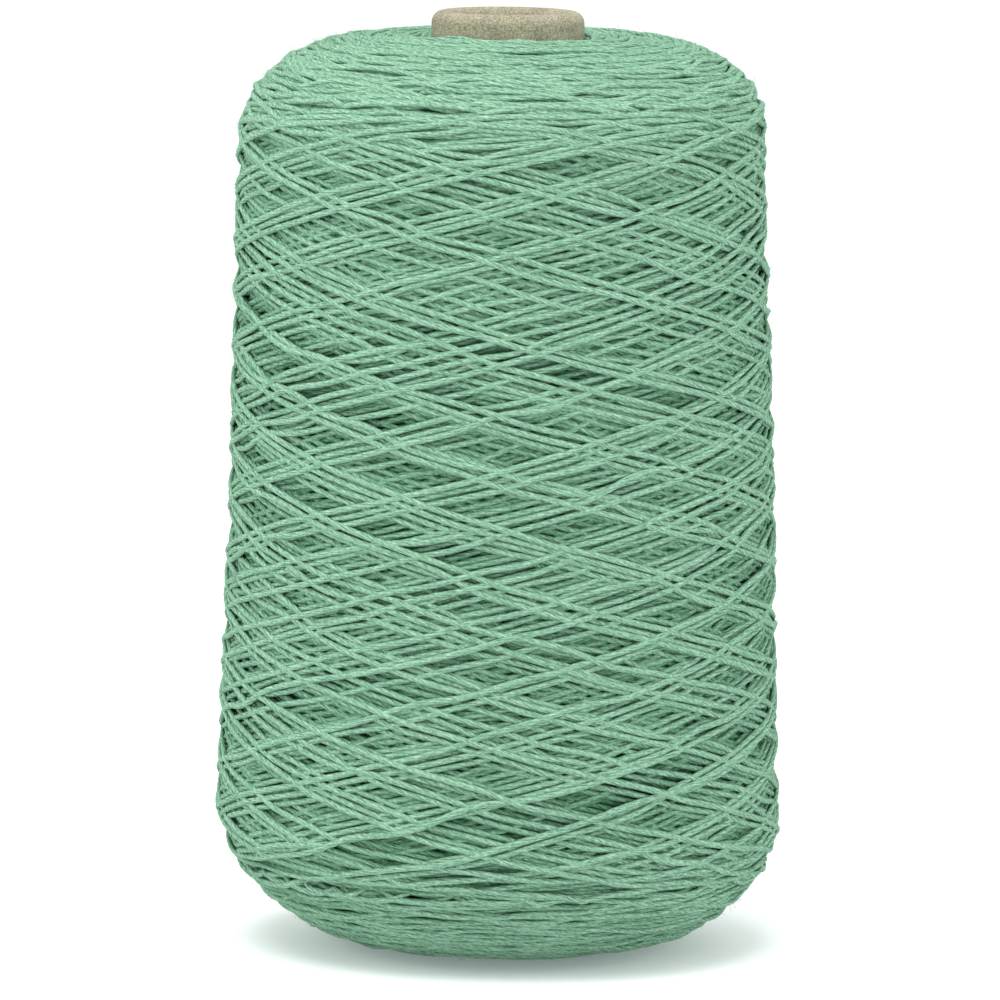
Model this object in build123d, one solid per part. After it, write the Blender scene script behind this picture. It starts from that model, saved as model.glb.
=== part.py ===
"""A full cone of cotton knitting yarn: a paper cone with about six hundred grams of string wound on it.

Millimetres and degrees, +Z up. The origin is on the axis, in the plane of the cone's cut base, which
the package stands on. The yarn is one continuous length. It is built here as the stretches in which a
winder lays it down: the tail that anchors it, then coaxial builds from the cone outwards.
"""

from build123d import *
from math import cos, pi, radians, sin, tan
import os

os.makedirs("parts", exist_ok=True)

# ---- Driving dimensions: the paper cone ----
CONE_LENGTH = 203.5
CONE_HALF_ANGLE = 1.85  # 1 degree 51 minutes, a standard taper for cotton yarn
NOSE_OUTER_DIAMETER = 33.0
CONE_WALL = 3.0
LIP_RADIUS = 2.5  # the nose is rolled inwards into a bead of this radius
LIP_LAND = 4.0  # straight bore left by the nose-forming mandrel, below the bead
LIP_RUN_OUT = 9.0  # length over which the rolled-in paper tapers back to the wall
BASE_EDGE_BREAK = 0.5
SLIT_HEIGHT = 5.0  # slit in the base rim that holds the yarn's first end
SLIT_CLEARANCE = 0.15  # on each side of the yarn
SLIT_ANGLE = 200.0  # round the axis from +X, so the slit is on the far side

# ---- Driving dimensions: the yarn ----
YARN_DIAMETER = 1.5
PACKAGE_DIAMETER = 122.8  # at its widest, just above the lower shoulder
PACKAGE_HALF_ANGLE = 1.7
BASE_CLEAR = 2.0  # cone left bare under the yarn
NOSE_CLEAR = 5.2  # cone left bare above the yarn
LOWER_SHOULDER = (27.3, 26.1)  # radial and vertical reach of the rounded shoulder
LOWER_SHOULDER_POWER = 1.63
UPPER_SHOULDER = (26.8, 19.6)
UPPER_SHOULDER_POWER = 1.97
SHOULDER_POINTS = 9
BUILD_NAMES = ("yarn_first_build", "yarn_lower_build", "yarn_upper_build", "yarn_outer_build")
LAY_GAP = 0.05  # between a stretch of yarn and what it is laid on
TAIL_TURN = 320.0  # degrees that the starting tail goes round the bare base

# ---- Values that follow ----
CONE_TAPER = tan(radians(CONE_HALF_ANGLE))
NOSE_RADIUS = NOSE_OUTER_DIAMETER / 2
NOSE_BORE_RADIUS = NOSE_RADIUS - 2 * LIP_RADIUS
BEAD_HEIGHT = CONE_LENGTH - LIP_RADIUS
LAND_BOTTOM = BEAD_HEIGHT - LIP_LAND
WALL_ALONG_RADIUS = CONE_WALL / cos(radians(CONE_HALF_ANGLE))
PACKAGE_TOP = CONE_LENGTH - NOSE_CLEAR
WIDEST = (PACKAGE_DIAMETER / 2, BASE_CLEAR + LOWER_SHOULDER[1])  # radius and height


def cone_radius(height):
    """Outer radius of the paper cone at a height above its base."""
    return NOSE_RADIUS + (BEAD_HEIGHT - height) * CONE_TAPER


def bore_radius(height):
    """Inner radius of the paper cone below its rolled nose."""
    return cone_radius(height) - WALL_ALONG_RADIUS


def paper_cone():
    """Rolled greyboard cone with a beaded nose, a square-cut base and a slit for the yarn's first end."""
    run_out = LAND_BOTTOM - LIP_RUN_OUT
    base_inside, base_outside = (bore_radius(0), 0), (cone_radius(0), 0)
    bead_outside, bead_inside = (NOSE_RADIUS, BEAD_HEIGHT), (NOSE_BORE_RADIUS, BEAD_HEIGHT)
    land_end, wall_end = (NOSE_BORE_RADIUS, LAND_BOTTOM), (bore_radius(run_out), run_out)
    profile = [
        Line(base_inside, base_outside),
        Line(base_outside, bead_outside),
        ThreePointArc(bead_outside, (NOSE_RADIUS - LIP_RADIUS, CONE_LENGTH), bead_inside),
        Line(bead_inside, land_end),
        Spline(land_end, wall_end, tangents=[(0, -1), (CONE_TAPER, -1)]),
        Line(wall_end, base_inside),
    ]
    cone = revolve(Plane.XZ * make_face(profile), Axis.Z)
    rim = cone.edges().filter_by(GeomType.CIRCLE).group_by(Axis.Z)[0]
    cone = chamfer(rim, BASE_EDGE_BREAK)
    slit = Box(2 * CONE_WALL, YARN_DIAMETER + 2 * SLIT_CLEARANCE, 2 * SLIT_HEIGHT)
    return cone - Rot(0, 0, SLIT_ANGLE) * Pos(cone_radius(0) - CONE_WALL / 2, 0, 0) * slit


def shoulder(side, flat, power):
    """A rounded shoulder, from the package's side to its end face, as a curve through a superellipse."""
    reach = side[0] - flat[0]
    rise = flat[1] - side[1]
    turns = [pi / 2 * step / (SHOULDER_POINTS - 1) for step in range(SHOULDER_POINTS)]
    points = [
        (flat[0] + reach * cos(turn) ** (2 / power), side[1] + rise * sin(turn) ** (2 / power))
        for turn in turns
    ]
    away = 1 if rise > 0 else -1
    lean = -away * tan(radians(PACKAGE_HALF_ANGLE))
    return Spline(*points, tangents=[(lean, away), (-1, 0)])


def package_face():
    """Half-section of the whole wound package, in the plane that is spun about the axis."""
    lower_flat = (WIDEST[0] - LOWER_SHOULDER[0], BASE_CLEAR)
    upper_height = PACKAGE_TOP - UPPER_SHOULDER[1]
    narrowing = (upper_height - WIDEST[1]) * tan(radians(PACKAGE_HALF_ANGLE))
    upper_side = (WIDEST[0] - narrowing, upper_height)
    upper_flat = (upper_side[0] - UPPER_SHOULDER[0], PACKAGE_TOP)
    lower_inside = (cone_radius(BASE_CLEAR) + LAY_GAP, BASE_CLEAR)
    upper_inside = (cone_radius(PACKAGE_TOP) + LAY_GAP, PACKAGE_TOP)
    return make_face(
        [
            Line(lower_inside, lower_flat),
            shoulder(WIDEST, lower_flat, LOWER_SHOULDER_POWER),
            Line(WIDEST, upper_side),
            shoulder(upper_side, upper_flat, UPPER_SHOULDER_POWER),
            Line(upper_flat, upper_inside),
            Line(upper_inside, lower_inside),
        ]
    )


def sleeve_face(inner, outer):
    """Half-section of a sleeve round the cone, between two distances from the cone's surface."""
    base, nose = cone_radius(0), cone_radius(CONE_LENGTH)
    return make_face(
        Polyline(
            (base + inner, 0),
            (base + outer, 0),
            (nose + outer, CONE_LENGTH),
            (nose + inner, CONE_LENGTH),
            close=True,
        )
    )


def yarn_builds():
    """The builds of yarn, from the cone outwards. The ends of each show as rings on the end faces."""
    depth = WIDEST[0] - cone_radius(WIDEST[1])
    step = depth / len(BUILD_NAMES)
    whole = package_face()
    for count, name in enumerate(BUILD_NAMES):
        start = count * step + LAY_GAP
        end = PACKAGE_DIAMETER if name == BUILD_NAMES[-1] else (count + 1) * step
        yield name, revolve(Plane.XZ * (whole & sleeve_face(start, end)), Axis.Z)


def starting_tail():
    """The yarn's first end: out of the slit, then once round the bare base of the cone."""
    yarn_radius = YARN_DIAMETER / 2
    height = BASE_CLEAR - yarn_radius - LAY_GAP
    reach = cone_radius(height - yarn_radius) + yarn_radius + LAY_GAP
    inside = bore_radius(height)
    ring = revolve(Plane.XZ * Pos(reach, height) * Circle(yarn_radius), Axis.Z, revolution_arc=TAIL_TURN)
    elbow = Pos(reach, 0, height) * Sphere(yarn_radius)
    pull_in = Pos(inside, 0, height) * Rot(0, 90, 0) * extrude(Circle(yarn_radius), reach - inside)
    return Rot(0, 0, SLIT_ANGLE) * ring + Rot(0, 0, SLIT_ANGLE) * (pull_in + elbow)


export_step(paper_cone(), "parts/paper_cone.step")
export_step(starting_tail(), "parts/yarn_starting_tail.step")
for build_name, build in yarn_builds():
    export_step(build, f"parts/{build_name}.step")
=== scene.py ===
# %% [markdown]
# # A full cone of knitting yarn
# A paper cone carries about six hundred grams of soft cotton string. A winder lays the string to and
# fro while the cone turns, so every layer crosses the one below it at the same small angle. That
# crossing is the whole look of the object, so this lesson winds the package strand by strand, in the
# order a winder does, and lets each strand rest on what is already there.

from math import pi, radians, tan

import bmesh
import bpy
import numpy as np
from mathutils import Matrix, Vector


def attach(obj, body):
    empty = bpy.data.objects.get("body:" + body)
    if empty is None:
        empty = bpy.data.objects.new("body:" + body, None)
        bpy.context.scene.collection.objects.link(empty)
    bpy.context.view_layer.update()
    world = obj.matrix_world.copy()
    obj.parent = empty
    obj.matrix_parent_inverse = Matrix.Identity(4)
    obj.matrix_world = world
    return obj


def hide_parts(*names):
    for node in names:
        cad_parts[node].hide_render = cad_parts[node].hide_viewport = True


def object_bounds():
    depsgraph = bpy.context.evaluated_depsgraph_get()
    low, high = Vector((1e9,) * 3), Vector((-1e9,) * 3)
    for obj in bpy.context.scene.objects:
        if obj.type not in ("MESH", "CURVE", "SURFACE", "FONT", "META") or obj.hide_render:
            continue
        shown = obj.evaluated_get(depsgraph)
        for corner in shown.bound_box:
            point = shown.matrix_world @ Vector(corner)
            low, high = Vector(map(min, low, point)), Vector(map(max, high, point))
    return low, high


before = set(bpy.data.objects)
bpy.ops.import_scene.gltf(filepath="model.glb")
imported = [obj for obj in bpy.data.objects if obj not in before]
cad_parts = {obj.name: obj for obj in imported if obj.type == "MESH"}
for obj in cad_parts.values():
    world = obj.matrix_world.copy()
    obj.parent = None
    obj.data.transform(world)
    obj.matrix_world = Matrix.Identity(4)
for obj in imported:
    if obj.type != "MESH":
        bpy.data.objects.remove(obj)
CAD_BOX = [list(corner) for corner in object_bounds()]
MM = 0.001
YARN_NODES = ("yarn_first_build", "yarn_lower_build", "yarn_upper_build", "yarn_outer_build")
random = np.random.default_rng(7)
print("frame:", sorted(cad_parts), "box", CAD_BOX)


# %% [markdown]
# ## The surface that the yarn follows
# The builds of yarn in the frame are bodies of revolution. Their outer skin, cut through the axis, is
# one smooth line: out over the top face, down the side and in under the lower face. Places on the
# package are given by how far along that line they are, and how far round the axis.

# %% Read the package's outline from the frame
def node_points(name):
    """The corners of a CAD node's mesh, in millimetres."""
    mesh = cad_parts[name].data
    points = np.empty(len(mesh.vertices) * 3)
    mesh.vertices.foreach_get("co", points)
    return points.reshape(-1, 3) / MM


def outer_outline():
    """Radius and height along the skin, from the cone at the top round to the cone at the bottom."""
    points = np.vstack([node_points(name) for name in YARN_NODES])
    flat = np.round(np.column_stack([np.hypot(points[:, 0], points[:, 1]), points[:, 2]]), 2)
    flat = np.unique(flat, axis=0)
    flat = flat[np.argsort(-flat[:, 1], kind="stable")]
    top, bottom = flat[0, 1], flat[-1, 1]
    hull = [(flat[flat[:, 1] > top - 0.1, 0].min(), top)]
    for radius, height in flat:
        point = (radius, height)
        while len(hull) > 1 and turns_in(hull[-2], hull[-1], point):
            hull.pop()
        hull.append(point)
    hull.append((flat[flat[:, 1] < bottom + 0.1, 0].min(), bottom))
    return np.array(hull)


def turns_in(a, b, c):
    """True if the line a, b, c bends towards the axis at b, so that b is not on the outer skin."""
    return (b[0] - a[0]) * (c[1] - b[1]) - (b[1] - a[1]) * (c[0] - b[0]) >= 0


STEP = 0.25  # mm between points of the outline
SOFTENED = 6  # points over which the outline is rounded off
outline = outer_outline()
spacing = np.r_[0, np.cumsum(np.hypot(*np.diff(outline, axis=0).T))]
keep = np.r_[True, np.diff(spacing) > 1e-6]
LENGTH = spacing[-1]
along = np.arange(0, LENGTH, STEP)
radius_at = np.interp(along, spacing[keep], outline[keep, 0])
height_at = np.interp(along, spacing[keep], outline[keep, 1])


def smoothed(values, width):
    """Values averaged with a bell curve, with the ends held."""
    reach = int(3 * width) + 1
    bell = np.exp(-0.5 * (np.arange(-reach, reach + 1) / width) ** 2)
    padded = np.r_[
        2 * values[0] - values[reach:0:-1], values, 2 * values[-1] - values[-2 : -reach - 2 : -1]
    ]
    return np.convolve(padded, bell / bell.sum(), "valid")


radius_at, height_at = smoothed(radius_at, SOFTENED), smoothed(height_at, SOFTENED)
slope_r, slope_z = np.gradient(radius_at, STEP), np.gradient(height_at, STEP)
norm = np.hypot(slope_r, slope_z)
normal_r, normal_z = -slope_z / norm, slope_r / norm
bend_at = np.gradient(np.unwrap(np.arctan2(slope_z, slope_r)), STEP)
print("outline length", round(LENGTH, 1), "mm, widest", round(radius_at.max(), 2))

# %% [markdown]
# ## Laying yarn on yarn
# A height field over the unrolled package remembers how high the yarn stands at each place. A new
# strand is lifted until it clears what is under it, then pulled taut: between two high spots it runs
# straight, and only the package's own roundness brings it down. Last, it adds its own height to the
# field. Doing this for every strand in winding order gives the crossings, the bridged gaps and the
# dark diamonds between strands, which no pattern laid over a smooth surface would.

# %% The height field
YARN_WIDTH = np.ptp(node_points("yarn_starting_tail")[:, 2])  # mm, from the frame
HALF_WIDTH = 0.47 * YARN_WIDTH
HALF_HEIGHT = 0.86 * HALF_WIDTH  # a soft strand flattens where it is pressed down
SQUEEZE = 0.72  # share of its size that a strand keeps where two cross
CELLS_ROUND = 1120
CELL_ALONG = 0.33
CELLS_ALONG = int(LENGTH / CELL_ALONG) + 1
SAMPLE = 0.5  # mm between samples along a strand
PRESS_LENGTH = 8.0  # mm of strand that share the load of winding tension
PRESS_SLACK = 0.1  # a high spot is pressed down to this much above the level around it
PRESS_DEPTH = 0.6  # mm by which a high spot can be pressed down
DEPTH = 2.6  # mm of yarn, on average, that stand on the bed
CONTOUR_LENGTH = 3.0  # mm of outline over which the contour is kept even
SETTLE_LENGTH = 4.0  # mm over which a strand can shift sideways into a groove
JOIN_LENGTH = 6.0  # mm over which a new stroke takes over from the last one
SLIP_GRIP = 0.12  # friction against slipping sideways
RIM_CLEAR = 0.7  # mm that a strand keeps from either end of the outline
ROUNDED = 1.5  # samples over which a strand rounds off a sharp bend
PROBES = np.arange(-8, 9) * 0.2  # mm sideways at which the ground is felt
FOOT_SPAN = slice(5, 12)  # the probes under the strand itself
FOOT = HALF_HEIGHT * SQUEEZE * np.sqrt(1 - (PROBES[FOOT_SPAN] / HALF_WIDTH) ** 2)
field = np.zeros((CELLS_ALONG, CELLS_ROUND))
pressed = np.zeros(CELLS_ALONG)


def sample_outline(s, *tables):
    """Each table's value at places along the outline."""
    return [np.interp(s, along, table) for table in tables]


def cells_at(theta, s):
    """Row and column of the height field at places on the package."""
    column = np.floor(theta / (2 * pi) * CELLS_ROUND).astype(int) % CELLS_ROUND
    row = np.clip((s / CELL_ALONG).astype(int), 0, CELLS_ALONG - 1)
    return row, column


def sideways_on_package(theta, s):
    """How the two coordinates change for one millimetre sideways from a strand's line."""
    radius = sample_outline(s, radius_at)[0]
    run, rise = np.gradient(theta) * radius, np.gradient(s)
    size = np.hypot(run, rise)
    return -rise / size / radius, run / size


def lateral_cells(theta, s, offsets):
    """Cells beside a strand's line, one row of the result for each sideways offset in mm."""
    side_theta, side_s = sideways_on_package(theta, s)
    return cells_at(theta + offsets[:, None] * side_theta, s + offsets[:, None] * side_s)


def smoothed_rows(rows, width):
    """Every row averaged along itself with a bell curve."""
    return np.array([smoothed(row, width) for row in rows])


def taut(support, spread):
    """The lowest line over the supports that sags no more than the roundness under it allows."""
    lifted = support - spread
    hull = [0]
    for i in range(1, len(lifted)):
        while len(hull) > 1:
            a, b = hull[-2], hull[-1]
            if (lifted[b] - lifted[a]) * (i - a) > (lifted[i] - lifted[a]) * (b - a):
                break
            hull.pop()
        hull.append(i)
    return np.interp(np.arange(len(lifted)), hull, lifted[hull]) + spread


def roundness(theta, s, least):
    """How sharply the package bends under a strand, summed twice along it."""
    radius, out, bend = sample_outline(s, radius_at, normal_r, bend_at)
    run, rise = np.gradient(theta) * radius, np.gradient(s)
    share = run**2 / (run**2 + rise**2)
    bends = np.maximum(share * out / radius - (1 - share) * bend, least)
    return np.cumsum(np.cumsum(bends)) * SAMPLE**2


def lay(theta, s, least, sunk_ends=0.0, after=None):
    """Lays one strand: where it comes to rest sideways, and the height of its middle over the bed.
    after is the last point of the strand that this one carries on from."""
    ground = field[lateral_cells(theta, s, PROBES)]
    support = np.array(
        [(ground[i : i + len(FOOT)] + FOOT[:, None]).max(0) for i in range(len(PROBES) - len(FOOT) + 1)]
    )
    slips = PROBES[len(FOOT) // 2 : len(PROBES) - len(FOOT) // 2]
    effort = smoothed_rows(support, SETTLE_LENGTH / SAMPLE) + SLIP_GRIP * slips[:, None] ** 2
    slip = smoothed(slips[effort.argmin(0)], SETTLE_LENGTH / SAMPLE)
    side_theta, side_s = sideways_on_package(theta, s)
    theta, s = theta + slip * side_theta, np.clip(s + slip * side_s, RIM_CLEAR, LENGTH - RIM_CLEAR)

    ground = field[lateral_cells(theta, s, PROBES[FOOT_SPAN])]
    support = (ground + FOOT[:, None]).max(0)
    level = smoothed(support, PRESS_LENGTH / SAMPLE)
    held = np.clip(level + PRESS_SLACK, support - PRESS_DEPTH, support)
    middle = smoothed(taut(held, roundness(theta, s, least)), ROUNDED)
    if after:
        fade = np.exp(-np.arange(len(s)) * SAMPLE / JOIN_LENGTH)
        step = SAMPLE / sample_outline(s[0], radius_at)[0]
        theta = theta + (after[0] + step - theta[0]) * fade
        s = s + (after[1] - s[0]) * fade
        middle = middle + (after[2] - middle[0]) * fade
    if sunk_ends:
        to_end = np.minimum(np.arange(len(s)), np.arange(len(s))[::-1]) * SAMPLE
        middle = middle * (1 - np.maximum(0, 1 - to_end / sunk_ends) ** 1.5)
    offsets = np.linspace(-1, 1, 11) * HALF_WIDTH
    crown = HALF_HEIGHT * SQUEEZE * np.sqrt(1 - (offsets / HALF_WIDTH) ** 2)
    np.maximum.at(field, lateral_cells(theta, s, offsets), middle + crown[:, None])
    return theta, s, middle


def press_rows():
    """Presses down every row of the field that has outgrown the package's contour."""
    level = smoothed(field.mean(1), CONTOUR_LENGTH / CELL_ALONG)
    press = np.minimum(1, DEPTH / np.maximum(level, 0.01))
    field[:] *= press[:, None]
    pressed[:] += np.log(press)


def pressed_at(s):
    """How far each place along the outline has been pressed so far."""
    return np.interp(s, (np.arange(CELLS_ALONG) + 0.5) * CELL_ALONG, pressed)


# %% [markdown]
# ## The winder's path
# Two kinds of strand show. Down the side, the yarn crosses at fifteen degrees and eases round at each
# end of its stroke. On the two faces, only those turning points are left to see, from the innermost
# layer outwards: shallow arcs that run almost round the axis.

# %% Stroke and turning points
CROSS_ANGLE = radians(15.0)
EASE = 13.0  # mm of stroke in which the yarn turns from full angle to none
FACE_EASE = 50.0  # the same on the faces, where the turning points were pulled straighter
TOP_EDGE = np.interp(-184.0, -height_at, along)
BOTTOM_EDGE = np.interp(-20.0, -height_at, along)
TURNS_PER_CYCLE = 3.557  # turns of the package for one stroke down and one back
TURN_SLIP = 0.02  # radians by which a stroke runs ahead or behind, as a standard deviation
SIDE_PASSES = 312
SIDE_WANDER = ((0.5, 45), (0.16, 10))  # sizes and wavelengths of a stroke's unsteadiness, in mm
TURN_PAST = 3.0  # mm past its edge that a stroke can reach
TURN_SHORT = (1.6, 2.2)  # shape and size, in mm, of the gamma spread by which it falls short of that
FACE_WANDER = ((0.8, 30), (0.34, 12), (0.12, 6))  # the same for an arc on a face
ARCS_PER_MM = 4.4  # turning points for each mm of a face, measured along the outline
ARC_REACH = 95.0  # mm from the middle of an arc to its ends, where there is room
ARC_REACH_ROUND = 0.46  # share of the way round the axis that it may reach where there isn't
ARC_STEP = 0.9  # turns between the middles of two arcs that follow each other
FACE_START = 0.8  # mm from the end of the outline to the innermost arc
FACE_OVERLAP = 4.0  # mm by which the arcs go on under the strokes
SUNK_LENGTH = 26.0  # mm of an arc's end over which it goes down to the bed
FACE_BEND, SIDE_BEND = 0.012, 0.004  # least bend per mm that a taut strand keeps, by where it lies
print("stroke from", round(TOP_EDGE, 1), "to", round(BOTTOM_EDGE, 1), "mm along the outline")


def wander(count, size, wavelength):
    """A smooth random line in mm, as an unsteady hand or a slack strand draws it."""
    knots = int(count * SAMPLE / wavelength) + 4
    places = np.linspace(0, knots - 1, count)
    return smoothed(np.interp(places, np.arange(knots), random.normal(0, size, knots)), wavelength / 4)


def side_pass(start_theta, start, end):
    """One stroke along the side, from one turning point to the other, and where round it ends."""
    stroke = abs(end - start)
    eased = EASE * pi / 2 / tan(CROSS_ANGLE)
    full = 2 * eased + (stroke - 2 * EASE) / tan(CROSS_ANGLE)
    x = np.arange(0, full, SAMPLE)
    into = 1 - np.cos(np.minimum(x, eased) * tan(CROSS_ANGLE) / EASE)
    out = 1 - np.cos(np.minimum(full - x, eased) * tan(CROSS_ANGLE) / EASE)
    middle = np.clip(x - eased, 0, full - 2 * eased) * tan(CROSS_ANGLE)
    s = start + np.sign(end - start) * (EASE * into + middle + EASE * (1 - out))
    free = np.sin(pi * x / full) ** 0.5
    s = s + free * sum(wander(len(s), *waves) for waves in SIDE_WANDER)
    turn = np.cumsum(SAMPLE / sample_outline(s, radius_at)[0])
    turn *= (TURNS_PER_CYCLE * pi + random.normal(0, TURN_SLIP)) / turn[-1]
    return start_theta + turn, s


def side_passes():
    """Every stroke along the side, oldest first. Each begins where the last one turned."""
    theta_end = 0.0
    turning = TOP_EDGE
    passes = []
    for count in range(SIDE_PASSES):
        short = random.gamma(*TURN_SHORT)
        target = BOTTOM_EDGE - short + TURN_PAST if count % 2 == 0 else TOP_EDGE + short - TURN_PAST
        theta, s = side_pass(theta_end, turning, target)
        theta_end = theta[-1]
        turning = target
        passes.append((theta, s))
    return passes


def face_arcs(inner, edge):
    """The turning points on one face, innermost first, as arcs whose ends run outwards."""
    outward = np.sign(edge - inner)
    count = int(abs(edge - inner) * ARCS_PER_MM)
    arcs = []
    for number in range(count):
        vertex = inner + outward * (number + random.uniform(0, 1)) / ARCS_PER_MM
        radius = sample_outline(vertex, radius_at)[0]
        reach = min(ARC_REACH, ARC_REACH_ROUND * 2 * pi * radius)
        x = np.arange(-reach, reach, SAMPLE)
        s = vertex + outward * x**2 * tan(CROSS_ANGLE) ** 2 / 2 / FACE_EASE
        for waves in FACE_WANDER:
            s = s + wander(len(s), *waves)
        s = np.clip(s, RIM_CLEAR, LENGTH - RIM_CLEAR)
        middle = number * ARC_STEP * 2 * pi + random.uniform(-0.5, 0.5)
        turn = np.cumsum(SAMPLE / sample_outline(s, radius_at)[0])
        arcs.append((middle + turn - turn[len(turn) // 2], s))
    return arcs


# %% Wind the package
def wind(paths, least, sunk_ends=0.0, joined=False):
    """Lays strands in order and returns each with how far its place was pressed down at the time."""
    laid, last = [], None
    for path in paths:
        theta, s, middle = lay(*path, least, sunk_ends, last)
        laid.append((theta, s, middle, pressed_at(s)))
        press_rows()
        if joined:
            last = (theta[-1], s[-1], middle[-1] * np.exp(pressed_at(s[-1]) - laid[-1][3][-1]))
    print(len(laid), "strands,", round(sum(len(item[0]) for item in laid) * SAMPLE / 1000, 1), "m")
    return laid


top_arcs = wind(face_arcs(FACE_START, TOP_EDGE + FACE_OVERLAP), FACE_BEND, SUNK_LENGTH)
bottom_arcs = wind(face_arcs(LENGTH - FACE_START, BOTTOM_EDGE - FACE_OVERLAP), FACE_BEND, SUNK_LENGTH)
strokes = wind(side_passes(), SIDE_BEND, joined=True)


def as_pressed(laid):
    """Strands with their height as it is once all the later yarn has pressed on them."""
    return [(theta, s, middle * np.exp(pressed_at(s) - before)) for theta, s, middle, before in laid]


TUCK_LENGTH = 25.0  # mm of the yarn's last end that is tucked in under the turns beside it
CROWN_REACH, CROWN_BLUR = 8, 10  # cells round a place that set the height of its crowns
top_arcs, bottom_arcs, strokes = as_pressed(top_arcs), as_pressed(bottom_arcs), as_pressed(strokes)
theta, s, middle = strokes[-1]
to_end = np.arange(len(s))[::-1] * SAMPLE
strokes[-1] = theta, s, middle * np.minimum(1, to_end / TUCK_LENGTH) ** 0.5


def tallest_near(grid, reach):
    """Each cell's tallest neighbour within so many cells."""
    padded = np.pad(grid, ((reach, reach), (0, 0)), mode="edge")
    grid = np.max([padded[first : first + len(grid)] for first in range(2 * reach + 1)], axis=0)
    return np.max([np.roll(grid, shift, axis=1) for shift in range(-reach, reach + 1)], axis=0)


def blurred(grid, width):
    """The grid averaged with a bell curve, along the outline and round the axis."""
    waves = np.exp(-2 * (pi * np.fft.rfftfreq(grid.shape[1]) * width) ** 2)
    grid = np.fft.irfft(np.fft.rfft(grid, axis=1) * waves, grid.shape[1], axis=1)
    return np.array([smoothed(column, width) for column in grid.T]).T


crown = blurred(tallest_near(field, CROWN_REACH), CROWN_BLUR)
rows_along = (np.arange(CELLS_ALONG) + 0.5) * CELL_ALONG
print("crown height", round(crown.min(), 2), "to", round(crown.max(), 2), "mm over the bed")

# %% [markdown]
# ## From lines to strands
# Each strand becomes a closed tube with an oval section, standing on the package's bed. Rings of
# corners are spent where the strand bends and saved where it runs straight. Two maps go with it: one
# measures metres along the yarn and turns around it, for the fibres to follow, and one lays the
# strand's skin out flat in rows, so that nothing overlaps when its colours are baked. Every corner
# also keeps how shaded it lies, since light hardly reaches the underside of a strand or a deep one,
# and the cotton's colour is darkened by that much: painted shade.

# %% Build strands
SWAY_HEIGHTS = (7, 19, 31, 54, 97, 121, 141, 159, 174, 183, 188, 194)  # mm above the base
SWAYS = (1.4, 0.8, -0.3, -0.3, 0, -0.4, -0.6, -1.1, -1.1, -0.5, 0, 0)  # mm that the package leans there
SWELLS = ((2, 0.4), (3, 0.45), (5, 0.6), (9, 0.5))  # waves round the cone, and their size in mm
SWELL_SHIFT = 40  # sets the start of each wave apart from the others
SWELL_LENGTH = 3.0  # mm of the top face over which they fade
PROUD = 0.35  # share of its height that a strand keeps above the skin
RELIEF_PLACES = (TOP_EDGE, TOP_EDGE + 20, BOTTOM_EDGE - 20, LENGTH)
RELIEFS = (0.62, 0.87, 0.87, 0.76)  # share of its depth that a strand keeps there: less on the faces
PAINTED_SHADE_PER_DEPTH = 0.4  # mm of painted shade for each mm that a strand lies below the crowns
STRAND = (8, HALF_WIDTH, HALF_HEIGHT)  # a strand's section: its number of sides and half its sizes
RING_SLACK = 0.03  # mm that a saved ring may leave the line by
LONGEST_RUN = 8  # samples between two rings
GIRTH = pi * (HALF_WIDTH + HALF_HEIGHT)
BAKE_MARGIN = 0.1  # share of a row left empty between two rows of skin
ROW_SPARE = 1.04  # length of a row of skin, in sides of a square with the same area


def place(theta, s, depth):
    """Points in space for places on the package and depths under its skin, and outward directions."""
    radius, height, out_r, out_z = sample_outline(s, radius_at, height_at, normal_r, normal_z)
    rho = radius - depth * out_r
    points = np.column_stack([rho * np.cos(theta), rho * np.sin(theta), height - depth * out_z])
    return points, np.column_stack([out_r * np.cos(theta), out_r * np.sin(theta), out_z])


def crown_at(theta, s):
    """The height of the crowns round a place, read between four cells."""
    row = np.clip(s / CELL_ALONG - 0.5, 0, CELLS_ALONG - 1.001)
    column = theta / (2 * pi) * CELLS_ROUND - 0.5
    first_row, first_column = np.floor(row).astype(int), np.floor(column).astype(int)
    down, across = row - first_row, column - first_column
    near, far = first_column % CELLS_ROUND, (first_column + 1) % CELLS_ROUND
    upper = crown[first_row, near] * (1 - across) + crown[first_row, far] * across
    lower = crown[first_row + 1, near] * (1 - across) + crown[first_row + 1, far] * across
    return upper * (1 - down) + lower * down


def swell(theta):
    """How much the innermost yarn rises and falls round the cone, in mm."""
    return sum(size * np.cos(count * theta + size * SWELL_SHIFT) for count, size in SWELLS)


def place_strand(theta, s, lift):
    """A strand's points, outward directions and depths. Its crowns lie on the package's skin."""
    depth = crown_at(theta, s) - lift
    depth = np.where(depth < 0, depth * PROUD, depth * np.interp(s, RELIEF_PLACES, RELIEFS))
    swollen = depth - swell(theta) * np.exp(-s / SWELL_LENGTH)
    points, outward = place(theta, s, swollen)
    points[:, 0] += np.interp(points[:, 2], SWAY_HEIGHTS, SWAYS)
    return points, outward, depth


def rings_to_keep(points):
    """Numbers of the samples that are enough to draw the line within RING_SLACK."""
    kept, last, total = [0], 0, len(points)
    while last < total - 1:
        step = 2
        while step < LONGEST_RUN and last + step < total:
            ahead = last + step
            share = (np.arange(1, step) / step)[:, None]
            chord = points[last] * (1 - share) + points[ahead] * share
            if np.abs(points[last + 1 : ahead] - chord).max() > RING_SLACK:
                break
            step += 1
        last = min(last + max(step - 1, 1), total - 1)
        kept.append(last)
    return np.array(kept)


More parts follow.
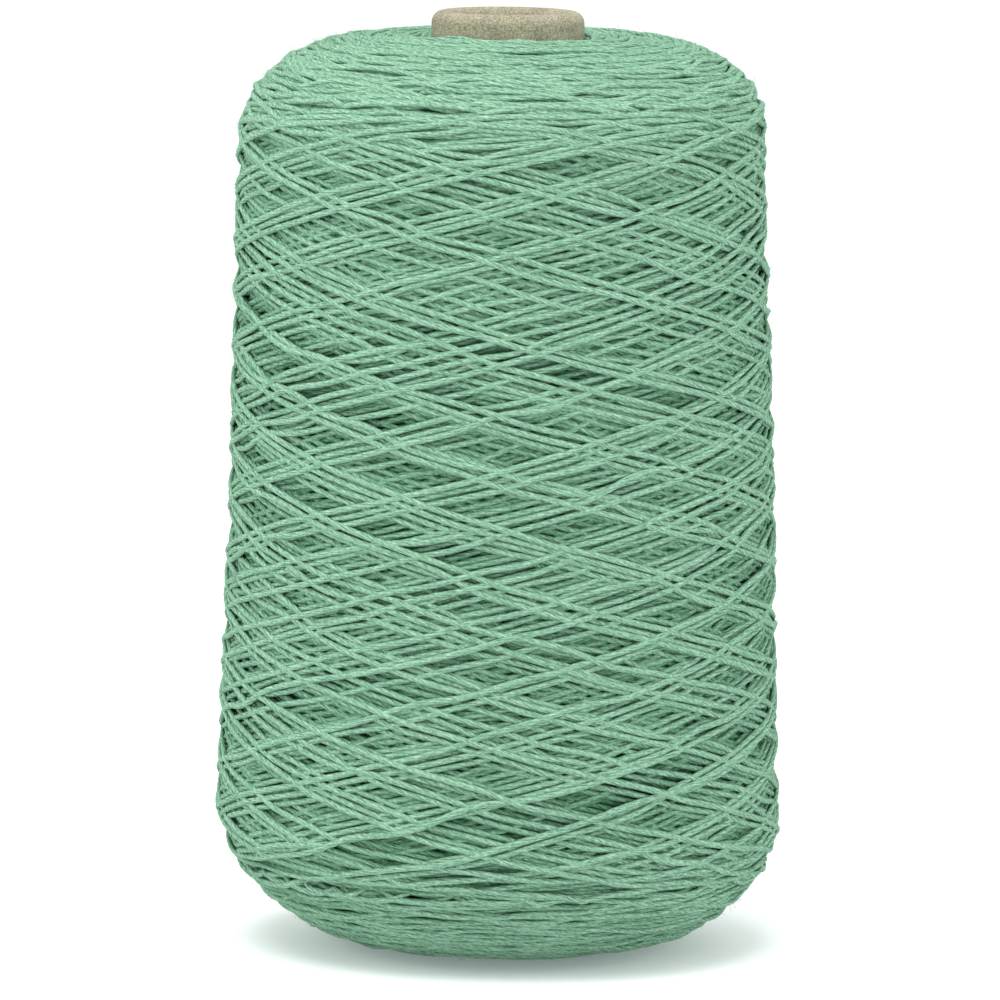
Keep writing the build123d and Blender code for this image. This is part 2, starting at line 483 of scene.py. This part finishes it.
def strand_rings(points, outward, depth, section):
    """Rings of corners round a line, each corner's painted shade, and where the rings are along it."""
    kept = rings_to_keep(points)
    points, outward, depth = points[kept], outward[kept], depth[kept]
    forward = np.gradient(points, axis=0)
    forward /= np.linalg.norm(forward, axis=1)[:, None]
    outward = outward - (outward * forward).sum(1)[:, None] * forward
    outward /= np.linalg.norm(outward, axis=1)[:, None]
    sideways = np.cross(outward, forward)
    sides, half_width, half_height = section
    turn = np.arange(sides) * 2 * pi / sides
    ring = (
        sideways[:, None] * (half_width * np.cos(turn))[None, :, None]
        + outward[:, None] * (half_height * np.sin(turn))[None, :, None]
    )
    # painted shade: more the deeper a corner lies below the crowns and the nearer the strand's underside
    shade = PAINTED_SHADE_PER_DEPTH * depth[:, None] + half_height * (1 - np.sin(turn))
    return (points[:, None] + ring).reshape(-1, 3), shade.ravel(), kept * SAMPLE


def skin_maps(places, starts, sides):
    """The two maps' values for every corner of every side face: yarn, then flat rows for baking."""
    side = np.arange(sides)
    first, second = places[starts], places[starts + 1]
    u = np.stack([first, second, second, first], -1)[:, None, :].repeat(sides, 1)
    v = np.stack([side, side, side + 1, side + 1], -1)[None].repeat(len(starts), 0) / sides
    total = places[-1] + LONGEST_RUN * SAMPLE
    row_length = (total * GIRTH) ** 0.5 * ROW_SPARE + LONGEST_RUN * SAMPLE
    rows = int(total / (row_length - LONGEST_RUN * SAMPLE)) + 2
    row = (first // (row_length - LONGEST_RUN * SAMPLE))[:, None, None]
    flat_u = (u - row * (row_length - LONGEST_RUN * SAMPLE)) / row_length
    flat_v = (row + v * (1 - BAKE_MARGIN)) / rows
    return np.stack([u * MM, v], -1).reshape(-1, 2), np.stack([flat_u, flat_v], -1).reshape(-1, 2), rows


def add_map(mesh, name, values):
    """Gives a mesh a UV map from one pair of values for each face corner."""
    mesh.uv_layers.new(name=name).data.foreach_set("uv", values.astype(np.float32).ravel())


def new_mesh_piece(name, corners, faces_by_size):
    """A mesh object from corners and faces, the faces given in blocks of equal size."""
    mesh = bpy.data.meshes.new(name)
    mesh.vertices.add(len(corners))
    mesh.vertices.foreach_set("co", (corners * MM).ravel())
    sizes = np.concatenate([np.full(len(block), block.shape[1]) for block in faces_by_size])
    loops = np.concatenate([block.ravel() for block in faces_by_size])
    mesh.loops.add(len(loops))
    mesh.loops.foreach_set("vertex_index", loops.astype(np.int32))
    mesh.polygons.add(len(sizes))
    mesh.polygons.foreach_set("loop_start", (np.cumsum(sizes) - sizes).astype(np.int32))
    mesh.update(calc_edges=True)
    mesh.shade_smooth()
    piece = bpy.data.objects.new(name, mesh)
    bpy.context.scene.collection.objects.link(piece)
    return piece


def strands_to_piece(name, lines, section=STRAND):
    """One mesh object that holds several strands, from their points, outward directions and depths."""
    corner_blocks, painted_shade_blocks, places, quad_starts, ends = [], [], [], [], []
    ring_count, length_before = 0, 0.0
    for points, outward, depth in lines:
        corners, shade, along_strand = strand_rings(points, outward, depth, section)
        corner_blocks.append(corners)
        painted_shade_blocks.append(shade)
        places.append(along_strand + length_before)
        quad_starts.append(ring_count + np.arange(len(along_strand) - 1))
        ends += [ring_count, ring_count + len(along_strand) - 1]
        ring_count += len(along_strand)
        length_before = places[-1][-1] + LONGEST_RUN * SAMPLE
    places, quad_starts = np.concatenate(places), np.concatenate(quad_starts)
    sides = section[0]
    side = np.arange(sides)
    here = quad_starts[:, None] * sides + side
    beside = quad_starts[:, None] * sides + (side + 1) % sides
    quads = np.stack([here, here + sides, beside + sides, beside], -1).reshape(-1, 4)
    caps = np.array([end * sides + (side if i % 2 == 0 else side[::-1]) for i, end in enumerate(ends)])
    piece = new_mesh_piece(name, np.vstack(corner_blocks), [quads, caps])
    painted_shade_layer = piece.data.attributes.new("shade", "FLOAT", "POINT")
    painted_shade_layer.data.foreach_set("value", np.concatenate(painted_shade_blocks).astype(np.float32))

    yarn_map, flat_map, rows = skin_maps(places, quad_starts, sides)
    turn = np.stack([np.cos(side * 2 * pi / sides), np.sin(side * 2 * pi / sides)], -1)
    cap_size = 0.4 / max(len(caps), rows)
    cap_row = np.full(len(caps), 1 - 0.5 / rows)
    cap_middle = np.stack([(np.arange(len(caps)) + 0.5) / len(caps), cap_row], -1)
    cap_flat = cap_middle[:, None] + cap_size * turn[None]
    cap_places = np.repeat(places[ends] * MM, sides)
    cap_yarn = np.column_stack([cap_places, np.tile(side / sides, len(caps))])
    add_map(piece.data, "yarn", np.vstack([yarn_map, cap_yarn]))
    add_map(piece.data, "OFBake", np.vstack([flat_map, cap_flat.reshape(-1, 2)]))
    print(name, len(lines), "strands,", round(places[-1] * MM, 1), "m,", 2 * len(quads), "triangles")
    return piece


def line_of(strands):
    """One line through strands that carry on from each other."""
    return place_strand(*[np.concatenate(values) for values in zip(*strands)])


STROKES_PER_PIECE = 24
ARCS_PER_PIECE = 120
yarn_pieces = []
for face, arcs in (("top", top_arcs), ("bottom", bottom_arcs)):
    for number, first in enumerate(range(0, len(arcs), ARCS_PER_PIECE), start=1):
        lines = [place_strand(*arc) for arc in arcs[first : first + ARCS_PER_PIECE]]
        yarn_pieces.append(strands_to_piece(f"{face}_face_wraps_{number}", lines))
for number, first in enumerate(range(0, SIDE_PASSES, STROKES_PER_PIECE), start=1):
    line = line_of(strokes[first : first + STROKES_PER_PIECE])
    yarn_pieces.append(strands_to_piece(f"side_wraps_{number:02}", [line]))

# %% [markdown]
# ## Loose fibres
# Short fibres stand off every strand of soft cotton and blur its edge. Each is a small fraction of the
# strand's thickness, is rooted in a strand that shows, and curls as it leaves it.

# %% Grow loose fibres
FIBRE = (3, 0.026, 0.026)  # a fibre's section, given as a strand's is
FIBRE_COUNT = 8000
FIBRE_POINTS = 5
FIBRE_REACH = (0.5, 1.6)  # mm
FIBRE_CURL = 0.25  # mm off a straight line after one mm, as a standard deviation
FIBRE_DROOP = 0.15  # mm back towards the strand after one mm
ROOT_DEPTH = 0.6  # mm under the crowns down to which a strand shows
ROOT_LEAN = 1.3  # radians round the strand, to either side of its crown, at which fibres are rooted
ROOT_INSIDE = 0.9  # share of the strand's half height at which a fibre starts
points, outward, depth = line_of([*top_arcs, *bottom_arcs, *strokes])
step = np.linalg.norm(np.diff(points, axis=0), axis=1)
roots = random.choice(np.flatnonzero((depth[:-1] < ROOT_DEPTH) & (step < 2 * SAMPLE)), FIBRE_COUNT)
forward = (points[roots + 1] - points[roots]) / step[roots, None]
sideways = np.cross(outward[roots], forward)
lean = random.uniform(-ROOT_LEAN, ROOT_LEAN, (FIBRE_COUNT, 1))
away = outward[roots] * np.cos(lean) + sideways * np.sin(lean)
onward = forward * random.uniform(-1, 1, (FIBRE_COUNT, 1))
heading = onward + away * random.uniform(0.3, 1, (FIBRE_COUNT, 1))
curl = random.normal(0, FIBRE_CURL, (FIBRE_COUNT, 3)) - FIBRE_DROOP * away
reach = random.uniform(*FIBRE_REACH, (FIBRE_COUNT, 1)) * np.linspace(0, 1, FIBRE_POINTS)
paths = (
    (points[roots] + ROOT_INSIDE * HALF_HEIGHT * away)[:, None]
    + heading[:, None] * reach[:, :, None]
    + curl[:, None] * reach[:, :, None] ** 2
)
across = np.cross(heading, away + 0.3 * sideways)[:, None].repeat(FIBRE_POINTS, 1)
level = np.zeros(FIBRE_POINTS)
loose_fibres = strands_to_piece("loose_fibres", [(*pair, level) for pair in zip(paths, across)], FIBRE)
yarn_pieces.append(loose_fibres)

# %% [markdown]
# ## What lies under them
# Deeper layers only show as glimpses between strands. They are one closed body, turned on the axis
# from a ridged line, with a ridge for every strand that lies side by side there. Its cotton is made
# darker all over, as painted shade.

# %% Spin the bed
def deselect_all():
    """Nothing selected, so that the next operator acts on the new piece alone."""
    bpy.ops.object.select_all(action="DESELECT")


BED_STEPS = 96
ridge_s = np.arange(0, LENGTH, YARN_WIDTH / 3)
ridge = HALF_HEIGHT * (np.abs(np.sin(pi * ridge_s / YARN_WIDTH)) ** 0.6 - 0.4)
bed_depth = np.interp(ridge_s, rows_along, crown.mean(1)) - ridge
bed_depth *= np.interp(ridge_s, RELIEF_PLACES, RELIEFS)
bed_line = place(np.zeros(len(ridge_s)), ridge_s, bed_depth)[0]
deselect_all()
bpy.ops.mesh.primitive_plane_add(size=MM)
bed = bpy.context.object
bed.name = bed.data.name = "yarn_bed"
bpy.ops.object.mode_set(mode="EDIT")
bm = bmesh.from_edit_mesh(bed.data)
bmesh.ops.delete(bm, geom=bm.verts[:], context="VERTS")
corners = [bm.verts.new((r * MM, 0, z * MM)) for r, _, z in bed_line]
for a, b in zip(corners, corners[1:]):
    bm.edges.new((a, b))
bm.edges.new((corners[-1], corners[0]))
bm.select_mode = {"VERT"}
for item in [*bm.verts, *bm.edges]:
    item.select = True
bmesh.update_edit_mesh(bed.data)
bpy.ops.mesh.spin(steps=BED_STEPS, angle=2 * pi, center=(0, 0, 0), axis=(0, 0, 1))
bpy.ops.mesh.select_all(action="SELECT")
bpy.ops.mesh.remove_doubles(threshold=0.01 * MM)
bpy.ops.mesh.normals_make_consistent(inside=False)
bpy.ops.object.mode_set(mode="OBJECT")
bed.data.shade_smooth()
print("yarn_bed", len(bed.data.polygons), "faces")

# %% [markdown]
# ## The starting tail
# The first end of the yarn is pinched in the slit in the cone's rim and goes once round its bare foot.
# It is the same strand as the rest, so it is drawn the same way, along the body that the frame holds
# for it: round at one height, then inwards to the inside of the paper wall.

# %% Draw the starting tail
BARE_TURN = radians(320)
SLIT_AT = radians(200)
tail_points = node_points("yarn_starting_tail")
tail_radius = np.hypot(tail_points[:, 0], tail_points[:, 1])
tail_height = tail_points[:, 2].mean()
round_it = np.arange(0, BARE_TURN, SAMPLE / tail_radius.max())[::-1]
tail_out = tail_radius.max() - HALF_HEIGHT
tail_in = np.arange(tail_out - SAMPLE, tail_radius.min() + HALF_HEIGHT, -SAMPLE)
tail_theta = SLIT_AT + np.r_[round_it, np.zeros(len(tail_in))]
tail_rho = np.r_[np.full(len(round_it), tail_out), tail_in]
tail_rho = smoothed(tail_rho, ROUNDED)
tail_line = np.column_stack(
    [tail_rho * np.cos(tail_theta), tail_rho * np.sin(tail_theta), np.full(len(tail_rho), tail_height)]
)
tail_side = np.column_stack([0 * tail_rho, 0 * tail_rho, np.ones(len(tail_rho))])
tail = strands_to_piece("starting_tail_strand", [(tail_line, tail_side, 0 * tail_rho)])

# %% [markdown]
# ## Soft spun cotton
# The yarn is several fine ends plied together with little twist, so it shows slanting ridges and
# fibres. The pattern is drawn on the strand itself: metres along it and turns round it, sheared by the
# twist, so that the fibres wind round every strand alike however it lies. Both the strands and the bed
# below them use it, so it is a node group that gives out the ridges, the fibres and the unevenness.

# %% Shader helpers
def add_node(tree, kind, inputs=None, **settings):
    """A shader node of one kind. Each of its inputs is given a value, or a socket to read."""
    made = tree.nodes.new("ShaderNode" + kind)
    for name, value in settings.items():
        setattr(made, name, value)
    for name, value in (inputs or {}).items():
        if isinstance(value, bpy.types.NodeSocket):
            tree.links.new(value, made.inputs[name])
        else:
            made.inputs[name].default_value = value
    return made


def math_node(tree, operation, *values):
    """The result of one sum on one to three values or sockets."""
    return add_node(tree, "Math", dict(enumerate(values)), operation=operation).outputs[0]


def new_group(name, inputs, outputs):
    """An empty shader node group with named number inputs and outputs, and its two end nodes."""
    group = bpy.data.node_groups.new(name, "ShaderNodeTree")
    for socket, value in inputs.items():
        made = group.interface.new_socket(socket, in_out="INPUT", socket_type="NodeSocketFloat")
        made.default_value = value
    for socket in outputs:
        group.interface.new_socket(socket, in_out="OUTPUT", socket_type="NodeSocketFloat")
    return group, group.nodes.new("NodeGroupInput").outputs, group.nodes.new("NodeGroupOutput").inputs


def new_material(name):
    """A material with its node tree and its Principled shader."""
    material = bpy.data.materials.new(name)
    material.use_nodes = True
    return material, material.node_tree, material.node_tree.nodes["Principled BSDF"]


def noise(tree, vector, scale, detail, roughness=0.5):
    """A noise texture's value, from 0 to 1."""
    inputs = {"Vector": vector, "Scale": scale, "Detail": detail, "Roughness": roughness}
    return add_node(tree, "TexNoise", inputs).outputs["Fac"]


def stretched(tree, value, low, high):
    """A value's range from low to high, stretched to 0 to 1 and cut off there."""
    sockets = {"Value": value, "From Min": low, "From Max": high}
    return add_node(tree, "MapRange", sockets, clamp=True).outputs["Result"]


def mixed(tree, factor, first, second, blend_type="MIX"):
    """Two colours mixed, each given as three numbers or as a socket to read."""
    colours = [(*colour, 1) if isinstance(colour, tuple) else colour for colour in (first, second)]
    sockets = {"Factor": factor, 6: colours[0], 7: colours[1]}
    return add_node(tree, "Mix", sockets, data_type="RGBA", blend_type=blend_type).outputs[2]


# %% The twist of the yarn, as a node group
PLIES = 6
LAY = 0.02  # metres of yarn for one turn of its twist
STRAY = 7.0  # radians by which a ridge strays from an even twist
UNEVEN_WAVES = 30.0  # per metre of yarn
twist, given, result = new_group("spun_twist", {"Lay": LAY}, ["Ridge", "Fibre", "Uneven"])
where = add_node(twist, "SeparateXYZ", {0: add_node(twist, "UVMap", uv_map="yarn").outputs[0]}).outputs
turned = math_node(twist, "SUBTRACT", where["Y"], math_node(twist, "DIVIDE", where["X"], given["Lay"]))
angle = math_node(twist, "MULTIPLY", turned, 2 * pi)
around = {"X": math_node(twist, "COSINE", angle), "Y": math_node(twist, "SINE", angle)}


def fibres(count, length, **looks):
    """Noise drawn out along the twist: so many fibres round the strand, each about so many metres long."""
    spread = (count / 2 / pi, count / 2 / pi, 1 / length)
    on_strand = add_node(twist, "CombineXYZ", {**around, "Z": where["X"]}).outputs[0]
    drawn_out = add_node(twist, "VectorMath", {0: on_strand, 1: spread}, operation="MULTIPLY")
    return noise(twist, drawn_out.outputs[0], scale=1.0, **looks)


bundles = fibres(9, 0.0045, detail=1.0)
hairs = fibres(15, 0.0010, detail=2.0, roughness=0.6)
strayed = math_node(twist, "MULTIPLY_ADD", bundles, STRAY, math_node(twist, "MULTIPLY", angle, PLIES))
ridge = math_node(twist, "MULTIPLY_ADD", math_node(twist, "COSINE", strayed), 0.5, 0.5)
twist.links.new(math_node(twist, "POWER", ridge, 0.7), result["Ridge"])
twist.links.new(stretched(twist, hairs, 0.36, 0.64), result["Fibre"])
waves = math_node(twist, "MULTIPLY", where["X"], UNEVEN_WAVES)
slow = add_node(twist, "CombineXYZ", {"X": waves}).outputs[0]
twist.links.new(stretched(twist, noise(twist, slow, scale=1.0, detail=2.0), 0.3, 0.7), result["Uneven"])


# %% Cotton with painted shade, and a darker copy for the depths
PAINTED_SHADE_RANGE = (0.45, 1.7)  # mm of shade between which the painted shade darkens the cotton from none to full
PAINTED_SHADE_TINT = (0.01, 0.24, 0.09)  # share of its colour left under full painted shade, at the bottom of a gap
LEAST_PALE = 0.06  # share of the pale colour everywhere
# the ridge's share is painted shade, darker in the grooves between plies; fibres and unevenness are the
# cotton's own tone
PALE_FIBRE, PAINTED_GROOVE_SHADE, PALE_UNEVEN = 0.58, 0.26, 0.12  # shares that each part of the twist adds
TWIST_HEIGHT = 0.0002  # metres from the hollows of the twist to its tops


def cotton_material(name, pale, dark_tone_and_shade):
    """Cotton from a pale and a dark colour, with painted shade in the twist's grooves and in shaded
    places.
    """
    material, tree, shader = new_material(name)
    spun = add_node(tree, "Group", node_tree=twist).outputs
    fibre_share = math_node(tree, "MULTIPLY_ADD", spun["Fibre"], PALE_FIBRE, LEAST_PALE)
    share_with_groove_shade = math_node(tree, "MULTIPLY_ADD", spun["Ridge"], PAINTED_GROOVE_SHADE, fibre_share)
    share = math_node(tree, "MULTIPLY_ADD", spun["Uneven"], PALE_UNEVEN, share_with_groove_shade)
    # painted shade: the colour is darkened by each corner's shade value, in gaps and on undersides
    shade = add_node(tree, "Attribute", attribute_name="shade").outputs["Fac"]
    painted_shade_colour = mixed(tree, stretched(tree, shade, *PAINTED_SHADE_RANGE), (1, 1, 1), PAINTED_SHADE_TINT)
    with_painted_shade = mixed(tree, 1.0, mixed(tree, share, dark_tone_and_shade, pale), painted_shade_colour, "MULTIPLY")
    tree.links.new(with_painted_shade, shader.inputs["Base Color"])
    height = math_node(tree, "MULTIPLY_ADD", spun["Fibre"], 0.9, spun["Ridge"])
    bump = add_node(tree, "Bump", {"Height": height, "Strength": 0.9, "Distance": TWIST_HEIGHT})
    tree.links.new(bump.outputs[0], shader.inputs["Normal"])
    shader.inputs["Roughness"].default_value = 0.92
    shader.inputs["Specular IOR Level"].default_value = 0.02
    return material


cotton = cotton_material("mint_cotton", (0.33, 0.54, 0.395), (0.065, 0.195, 0.11))
# the bed's corners keep no shade, so its colours carry painted shade from the start: the mint cotton made
# darker
painted_shade_cotton = cotton_material("mint_cotton_painted_shade", (0.07, 0.19, 0.11), (0.02, 0.08, 0.04))

# %% [markdown]
# ## Rolled greyboard
# The cone is rolled from board made of waste paper: grey-beige, matte, with darker and paler flecks of
# fibre everywhere. Two speckles of different size over a faint cloud give that, in Object coordinates.

# %% Greyboard
PULP_DARK, PULP_PALE = (0.125, 0.112, 0.072), (0.385, 0.365, 0.265)
FLECK_COLOUR = (0.13, 0.12, 0.08)
GRAIN_SHARE, CLOUD_SHARE = 0.8, 0.2  # how much the fine grain and the faint cloud set the tone
board, tree, shader = new_material("greyboard")
place_on = add_node(tree, "TexCoord").outputs["Object"]
cloud = noise(tree, place_on, scale=160.0, detail=3.0)
fleck = noise(tree, place_on, scale=2300.0, detail=2.0, roughness=0.7)
dark_fleck = noise(tree, place_on, scale=1500.0, detail=4.0, roughness=0.75)
grain = math_node(tree, "MULTIPLY", stretched(tree, fleck, 0.34, 0.66), GRAIN_SHARE)
tone = math_node(tree, "MULTIPLY_ADD", stretched(tree, cloud, 0.35, 0.65), CLOUD_SHARE, grain)
ground = mixed(tree, tone, PULP_DARK, PULP_PALE)
flecked = mixed(tree, stretched(tree, dark_fleck, 0.58, 0.72), ground, FLECK_COLOUR)
tree.links.new(flecked, shader.inputs["Base Color"])
rough_paper = math_node(tree, "MULTIPLY_ADD", dark_fleck, 0.5, fleck)
bump = add_node(tree, "Bump", {"Height": rough_paper, "Strength": 0.5, "Distance": 0.0002})
tree.links.new(bump.outputs[0], shader.inputs["Normal"])
shader.inputs["Roughness"].default_value = 0.88
shader.inputs["Specular IOR Level"].default_value = 0.25

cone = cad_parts["paper_cone"]
for slot in cone.material_slots:
    slot.material = board

# %% [markdown]
# ## Hand the yarn to the frame
# The strands, the bed and the tail stand for the frame's plain builds of yarn, and ride on its one body.

# %% Dress and attach the pieces
for piece in [*yarn_pieces, tail]:
    piece.data.materials.append(cotton)
bed.data.materials.append(painted_shade_cotton)
for piece in [*yarn_pieces, tail, bed]:
    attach(piece, "root")
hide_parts(*YARN_NODES)
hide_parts("yarn_starting_tail")

# %% [markdown]
# ## A white table and soft light
# The cone stands on a plain white sheet that glows a little, as a light table does, under soft light
# from all round, with a large lamp above and in front, and a weaker one on each side. The camera
# stands far off and looks slightly down, as for a catalogue picture.

# %% Floor, light and camera
FLOOR_SIZE = 24.0  # m
FLOOR_GLOW = 0.2
ROOM_LIGHT = 1.12
MIDDLE_HEIGHT = (CAD_BOX[0][2] + CAD_BOX[1][2]) / 2
deselect_all()
bpy.ops.mesh.primitive_plane_add(size=FLOOR_SIZE)
floor = bpy.context.object
floor.name = floor.data.name = "floor"
white, tree, shader = new_material("white_floor")
shader.inputs["Base Color"].default_value = (0.78, 0.78, 0.78, 1)
shader.inputs["Emission Color"].default_value = (0.84, 1, 0.98, 1)
shader.inputs["Emission Strength"].default_value = FLOOR_GLOW
shader.inputs["Roughness"].default_value = 0.9
floor.data.materials.append(white)

world = bpy.data.worlds.new("studio")
world.use_nodes = True
background = world.node_tree.nodes["Background"]
background.inputs["Color"].default_value = (1, 1, 1, 1)
background.inputs["Strength"].default_value = ROOM_LIGHT
bpy.context.scene.world = world
bpy.context.scene.view_settings.view_transform = "Standard"


def soft_lamp(name, at, size, power):
    """A square lamp that faces the middle of the object. Its place and size are in metres."""
    middle = Vector((0, 0, MIDDLE_HEIGHT))
    data = bpy.data.lights.new(name, "AREA")
    data.size = size
    data.energy = power
    lamp = bpy.data.objects.new(name, data)
    bpy.context.scene.collection.objects.link(lamp)
    lamp.location = at
    lamp.rotation_euler = (middle - Vector(at)).to_track_quat("-Z", "Y").to_euler()


soft_lamp("lamp_above", (-0.18, -0.5, 1.4), 1.0, 19.0)
soft_lamp("lamp_left", (-1.3, -0.3, 0.45), 0.8, 5.5)
soft_lamp("lamp_right", (1.3, -0.3, 0.45), 0.8, 5.0)

CAMERA_DISTANCE = 1.813  # m
CAMERA_PITCH = 0.123  # radians below level
CAMERA_ROLL = radians(0.7)
CAMERA_LENS = 300.4  # mm
CAMERA_SHIFT = -0.0022  # share of the picture's width
AIM_BELOW_MIDDLE = 0.0046  # m
camera_data = bpy.data.cameras.new("camera")
camera_data.lens = CAMERA_LENS
camera_data.shift_x = CAMERA_SHIFT
camera = bpy.data.objects.new("camera", camera_data)
bpy.context.scene.collection.objects.link(camera)
aim = Vector((0, 0, MIDDLE_HEIGHT - AIM_BELOW_MIDDLE))
turn = Matrix.Rotation(pi / 2 - CAMERA_PITCH, 4, "X") @ Matrix.Rotation(CAMERA_ROLL, 4, "Z")
camera.matrix_world = Matrix.Translation(aim) @ turn @ Matrix.Translation((0, 0, CAMERA_DISTANCE))
bpy.context.scene.camera = camera
